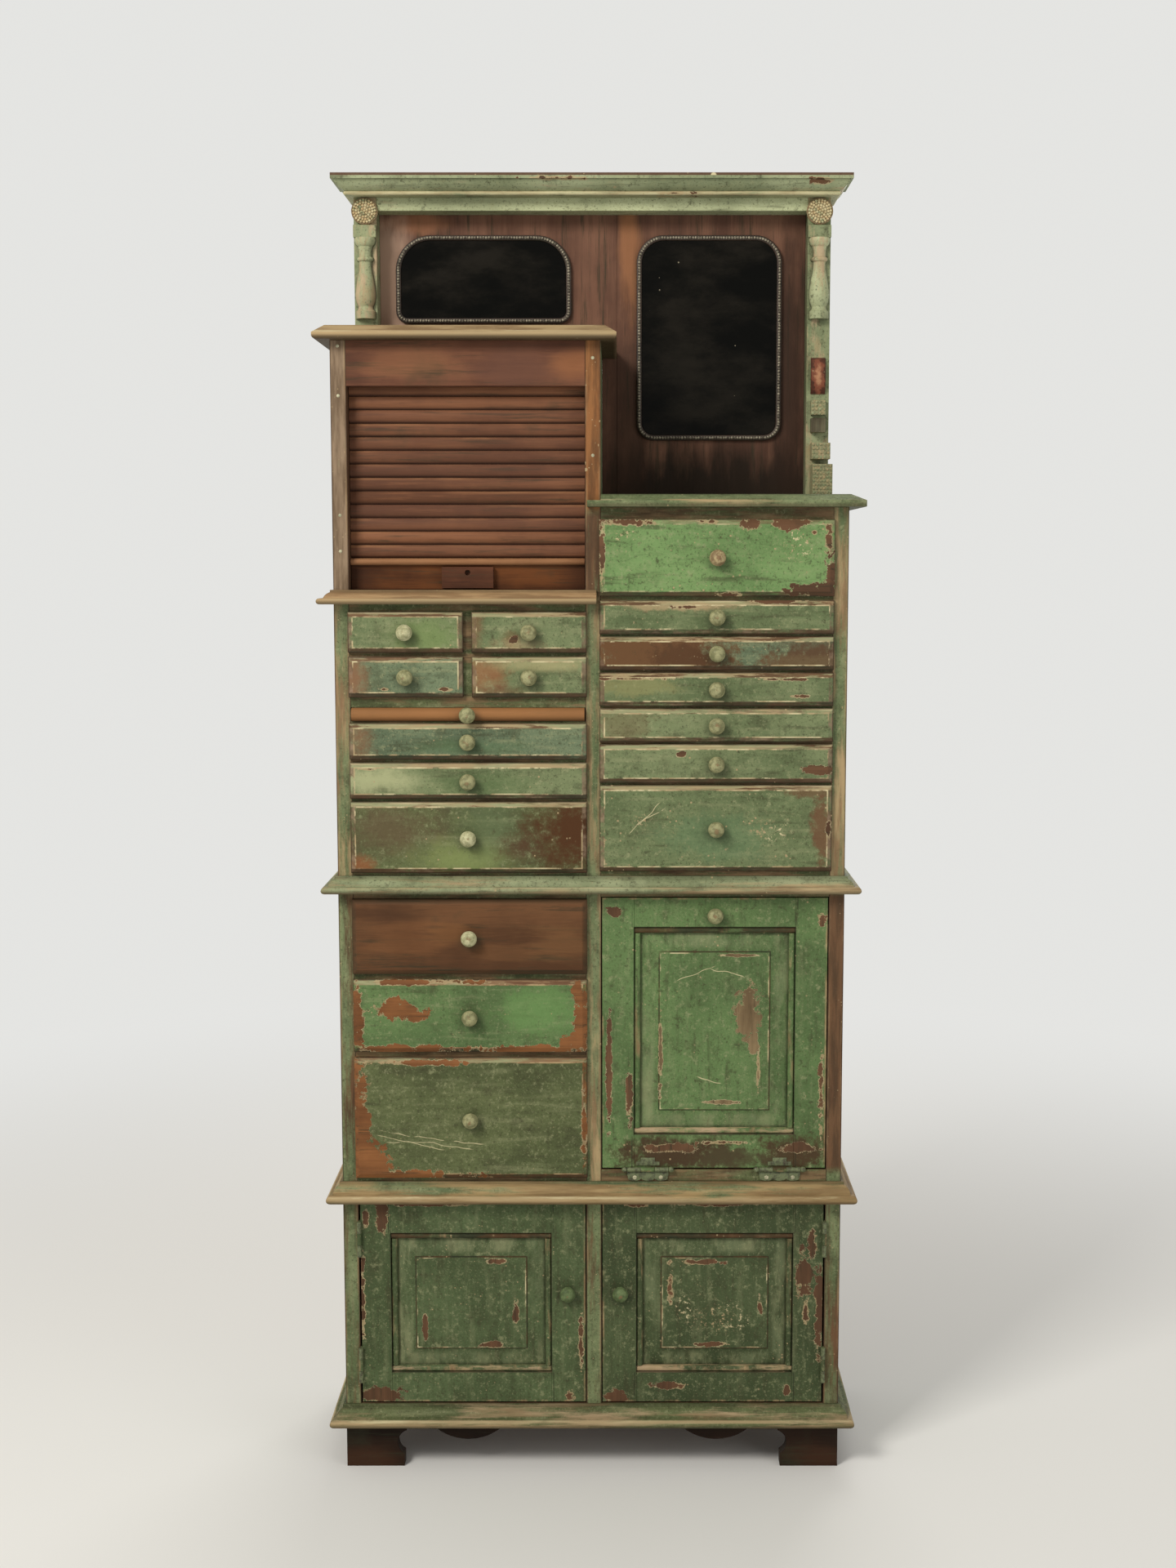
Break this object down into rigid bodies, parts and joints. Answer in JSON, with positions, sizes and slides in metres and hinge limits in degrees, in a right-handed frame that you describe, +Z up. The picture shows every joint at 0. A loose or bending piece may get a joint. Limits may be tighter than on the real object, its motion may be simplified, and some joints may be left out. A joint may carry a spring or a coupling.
{
  "type": "dental cabinet",
  "caption": "Tall painted wooden clinic cabinet with stacked drawers, a roll front, a fall front, panelled doors and a mirrored gallery on bracket feet.",
  "frame": {"origin": "on the floor, below the middle of the cabinet's overall box", "axes": "+Z up, -Y to the front where the drawers open, +X to the viewer's right"},
  "size_m": [0.769, 0.3124, 1.8955],
  "materials": {
    "case_paint": "worn sage green paint",
    "drawer_paint": "chipped green paint",
    "door_paint": "chipped green paint",
    "bare_wood": "worn to tan wood",
    "brown_wood": "old brown stain",
    "slat_wood": "dark red-brown varnish",
    "foot_wood": "dark brown stain",
    "back_wood": "bare aged softwood",
    "gallery_wood": "dark brown stain",
    "mirror_glass": "foxed silvered glass",
    "bead_metal": "dull aged bead",
    "hinge_metal": "painted over"
  },
  "bodies": {
    "case": {"bracket_feet": "foot_wood", "apron_lobes": "foot_wood", "base_moulding": "case_paint", "lower_moulding": "case_paint", "waist_moulding": "case_paint", "roll_sill": "bare_wood", "left_side": "case_paint", "right_side": "case_paint", "centre_partition": "case_paint", "case_back": "back_wood", "deck_boards": "back_wood", "roll_deck": "back_wood", "drawer_dividers": "case_paint", "front_rails": "case_paint", "roll_head_rail": "brown_wood", "roll_top": "bare_wood", "counter_top": "case_paint", "gallery_panel": "gallery_wood", "left_post": "case_paint", "right_post": "case_paint", "post_vases": "case_paint", "rosettes": "case_paint", "frieze": "case_paint", "cornice": "case_paint", "small_mirror": "mirror_glass", "tall_mirror": "mirror_glass", "mirror_frames": "bead_metal", "door_hinges": "hinge_metal", "fall_hinges": "hinge_metal"},
    "lower_drawer_1": {"lower_drawer_1": "brown_wood"},
    "lower_drawer_2": {"lower_drawer_2": "drawer_paint"},
    "lower_drawer_3": {"lower_drawer_3": "drawer_paint"},
    "left_deep_drawer": {"left_deep_drawer": "drawer_paint"},
    "left_tray_1": {"left_tray_1": "drawer_paint"},
    "left_tray_2": {"left_tray_2": "drawer_paint"},
    "small_drawer_high_left": {"small_drawer_high_left": "drawer_paint"},
    "small_drawer_high_right": {"small_drawer_high_right": "drawer_paint"},
    "small_drawer_low_left": {"small_drawer_low_left": "drawer_paint"},
    "small_drawer_low_right": {"small_drawer_low_right": "drawer_paint"},
    "right_top_drawer": {"right_top_drawer": "drawer_paint"},
    "right_tray_1": {"right_tray_1": "drawer_paint"},
    "right_tray_2": {"right_tray_2": "drawer_paint"},
    "right_tray_3": {"right_tray_3": "drawer_paint"},
    "right_tray_4": {"right_tray_4": "drawer_paint"},
    "right_tray_5": {"right_tray_5": "drawer_paint"},
    "right_deep_drawer": {"right_deep_drawer": "drawer_paint"},
    "writing_slide": {"writing_slide": "brown_wood"},
    "left_door": {"left_door_frame": "door_paint", "left_door_panel": "door_paint"},
    "right_door": {"right_door_frame": "door_paint", "right_door_panel": "door_paint"},
    "fall_front": {"fall_front_frame": "door_paint", "fall_front_panel": "door_paint"},
    "roll_rail": {"roll_rail": "slat_wood", "roll_lock": "slat_wood"},
    "roll_slats_1": {"roll_slats_1": "slat_wood"},
    "roll_slats_2": {"roll_slats_2": "slat_wood"},
    "roll_slats_3": {"roll_slats_3": "slat_wood"},
    "roll_slats_4": {"roll_slats_4": "slat_wood"},
    "roll_slats_5": {"roll_slats_5": "slat_wood"}
  },
  "joints": [
    {"name": "lower_drawer_1_slide", "type": "slide", "parent": "case", "child": "lower_drawer_1", "axis": [0, -1, 0], "range_m": [0, 0.18]},
    {"name": "lower_drawer_2_slide", "type": "slide", "parent": "case", "child": "lower_drawer_2", "axis": [0, -1, 0], "range_m": [0, 0.18]},
    {"name": "lower_drawer_3_slide", "type": "slide", "parent": "case", "child": "lower_drawer_3", "axis": [0, -1, 0], "range_m": [0, 0.18]},
    {"name": "left_deep_drawer_slide", "type": "slide", "parent": "case", "child": "left_deep_drawer", "axis": [0, -1, 0], "range_m": [0, 0.18]},
    {"name": "left_tray_1_slide", "type": "slide", "parent": "case", "child": "left_tray_1", "axis": [0, -1, 0], "range_m": [0, 0.18]},
    {"name": "left_tray_2_slide", "type": "slide", "parent": "case", "child": "left_tray_2", "axis": [0, -1, 0], "range_m": [0, 0.18]},
    {"name": "small_drawer_high_left_slide", "type": "slide", "parent": "case", "child": "small_drawer_high_left", "axis": [0, -1, 0], "range_m": [0, 0.18]},
    {"name": "small_drawer_high_right_slide", "type": "slide", "parent": "case", "child": "small_drawer_high_right", "axis": [0, -1, 0], "range_m": [0, 0.18]},
    {"name": "small_drawer_low_left_slide", "type": "slide", "parent": "case", "child": "small_drawer_low_left", "axis": [0, -1, 0], "range_m": [0, 0.18]},
    {"name": "small_drawer_low_right_slide", "type": "slide", "parent": "case", "child": "small_drawer_low_right", "axis": [0, -1, 0], "range_m": [0, 0.18]},
    {"name": "right_top_drawer_slide", "type": "slide", "parent": "case", "child": "right_top_drawer", "axis": [0, -1, 0], "range_m": [0, 0.18]},
    {"name": "right_tray_1_slide", "type": "slide", "parent": "case", "child": "right_tray_1", "axis": [0, -1, 0], "range_m": [0, 0.18]},
    {"name": "right_tray_2_slide", "type": "slide", "parent": "case", "child": "right_tray_2", "axis": [0, -1, 0], "range_m": [0, 0.18]},
    {"name": "right_tray_3_slide", "type": "slide", "parent": "case", "child": "right_tray_3", "axis": [0, -1, 0], "range_m": [0, 0.18]},
    {"name": "right_tray_4_slide", "type": "slide", "parent": "case", "child": "right_tray_4", "axis": [0, -1, 0], "range_m": [0, 0.18]},
    {"name": "right_tray_5_slide", "type": "slide", "parent": "case", "child": "right_tray_5", "axis": [0, -1, 0], "range_m": [0, 0.18]},
    {"name": "right_deep_drawer_slide", "type": "slide", "parent": "case", "child": "right_deep_drawer", "axis": [0, -1, 0], "range_m": [0, 0.18]},
    {"name": "writing_slide_slide", "type": "slide", "parent": "case", "child": "writing_slide", "axis": [0, -1, 0], "range_m": [0, 0.17]},
    {"name": "left_door_hinge", "type": "hinge", "parent": "case", "child": "left_door", "pos_m": [-0.3392, -0.1278, 0.0995], "axis": [0, 0, -1], "range_deg": [0, 110]},
    {"name": "right_door_hinge", "type": "hinge", "parent": "case", "child": "right_door", "pos_m": [0.3392, -0.1278, 0.0995], "axis": [0, 0, 1], "range_deg": [0, 110]},
    {"name": "fall_front_hinge", "type": "hinge", "parent": "case", "child": "fall_front", "pos_m": [0.17725, -0.1278, 0.4528], "axis": [1, 0, 0], "range_deg": [0, 90]},
    {"name": "roll_lift", "type": "slide", "parent": "case", "child": "roll_rail", "axis": [0, 0, 1], "range_m": [0, 0.224]},
    {"name": "roll_bend_1", "type": "hinge", "parent": "roll_rail", "child": "roll_slats_1", "pos_m": [-0.17425, -0.0963, 1.3355], "axis": [-1, 0, 0], "range_deg": [0, 36.5]},
    {"name": "roll_bend_2", "type": "hinge", "parent": "roll_slats_1", "child": "roll_slats_2", "pos_m": [-0.17425, -0.0963, 1.3919], "axis": [-1, 0, 0], "range_deg": [0, 36.5]},
    {"name": "roll_bend_3", "type": "hinge", "parent": "roll_slats_2", "child": "roll_slats_3", "pos_m": [-0.17425, -0.0963, 1.4483], "axis": [-1, 0, 0], "range_deg": [0, 36.5]},
    {"name": "roll_bend_4", "type": "hinge", "parent": "roll_slats_3", "child": "roll_slats_4", "pos_m": [-0.17425, -0.0963, 1.5047], "axis": [-1, 0, 0], "range_deg": [0, 36.5]},
    {"name": "roll_bend_5", "type": "hinge", "parent": "roll_slats_4", "child": "roll_slats_5", "pos_m": [-0.17425, -0.0963, 1.5611], "axis": [-1, 0, 0], "range_deg": [0, 36.5]}
  ],
  "couplings": [
    {"joint": "roll_bend_1", "follows": "roll_lift", "rad_per_m": 2.805},
    {"joint": "roll_bend_2", "follows": "roll_lift", "rad_per_m": 2.805},
    {"joint": "roll_bend_3", "follows": "roll_lift", "rad_per_m": 2.805},
    {"joint": "roll_bend_4", "follows": "roll_lift", "rad_per_m": 2.805},
    {"joint": "roll_bend_5", "follows": "roll_lift", "rad_per_m": 2.805}
  ]
}
